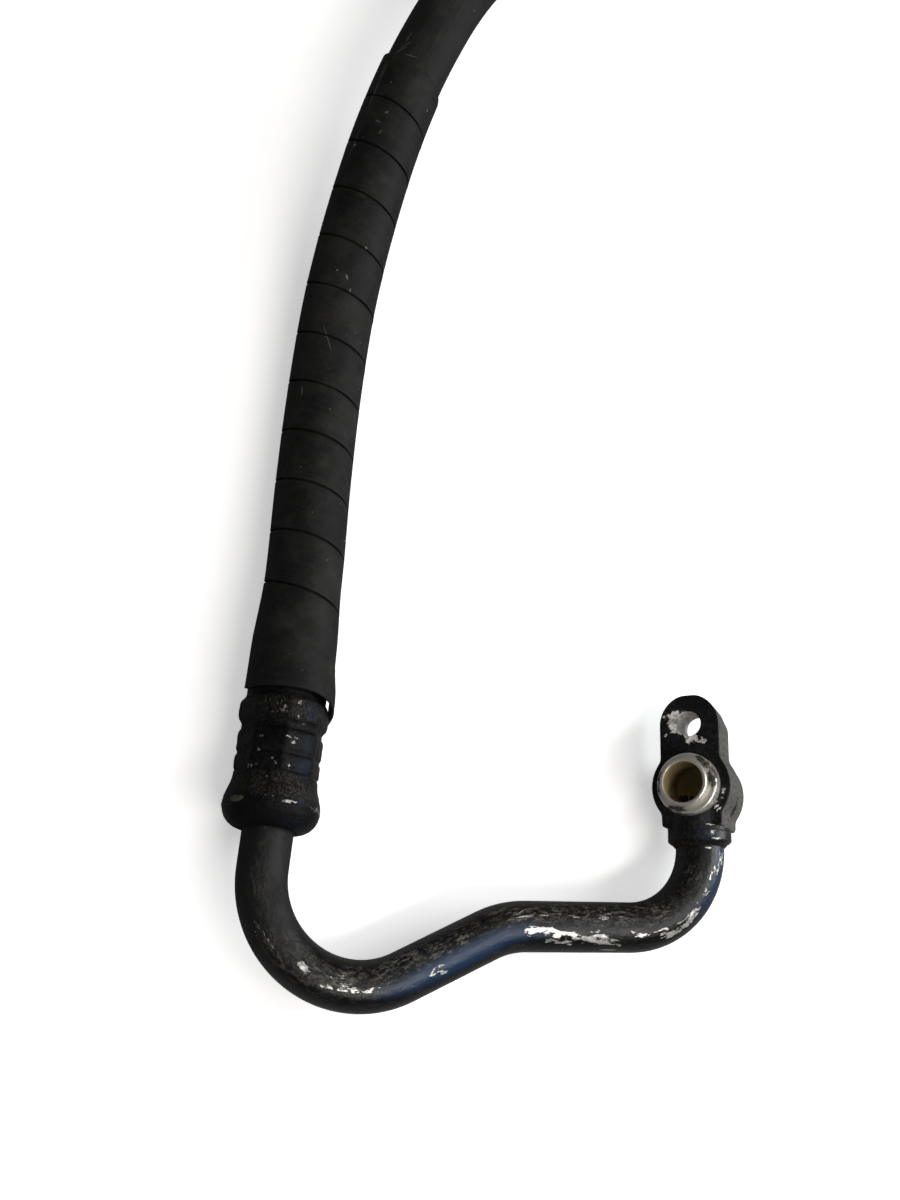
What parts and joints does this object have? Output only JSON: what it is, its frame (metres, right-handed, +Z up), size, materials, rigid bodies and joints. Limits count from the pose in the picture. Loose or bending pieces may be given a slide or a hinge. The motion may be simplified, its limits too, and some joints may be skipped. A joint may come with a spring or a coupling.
{
  "type": "hydraulic hose assembly",
  "caption": "Hydraulic hose assembly: a rubber hose in a spiral guard, crimped to a bent painted tube with a bolt-on flange block, and to a captive swivel nut at its far end.",
  "frame": {"origin": "centre of the metal end's footprint (block, bent tube and near ferrule), on the surface that the assembly lies on", "axes": "+Z up as the assembly lies on a table; +Y along the flange block from its tube towards its bolt ear; +X from the ferrule towards the block"},
  "size_m": [0.3178, 0.508, 0.0403],
  "materials": {
    "block_paint": "worn near-black paint over steel, bare on one side",
    "port_steel": "machined, plated",
    "braze_metal": "as brazed",
    "tube_paint": "worn near-black paint, chipped to bare steel",
    "insert_steel": "machined, plated",
    "ferrule_steel": "dark phosphate, worn",
    "lining_rubber": "smooth",
    "braid_yarn": "braided yarn",
    "friction_rubber": "smooth",
    "cover_rubber": "matt, lengthwise texture",
    "guard_rubber": "matt, scuffed",
    "nut_steel": "zinc plated",
    "seal_rubber": "smooth"
  },
  "bodies": {
    "hose_assembly": {"flange_block": "block_paint", "port_spigot": "port_steel", "port_o_ring": "seal_rubber", "block_braze": "braze_metal", "bent_tube": "tube_paint", "hose_insert": "insert_steel", "insert_o_rings": "seal_rubber", "crimp_ferrule": "ferrule_steel", "hose_inner_tube": "lining_rubber", "hose_inner_braid": "braid_yarn", "hose_friction_layer": "friction_rubber", "hose_outer_braid": "braid_yarn", "hose_cover": "cover_rubber", "spiral_guard": "guard_rubber", "far_ferrule": "ferrule_steel", "far_insert": "insert_steel", "far_insert_o_rings": "seal_rubber", "nut_retaining_wire": "nut_steel", "far_o_ring": "seal_rubber"},
    "nut": {"swivel_nut": "nut_steel"}
  },
  "joints": [
    {"name": "swivel_nut_spin", "type": "hinge", "parent": "hose_assembly", "child": "nut", "pos_m": [0.21714, 0.43652, 0.0153], "axis": [0.966, 0.2585, 0], "continuous": true}
  ]
}
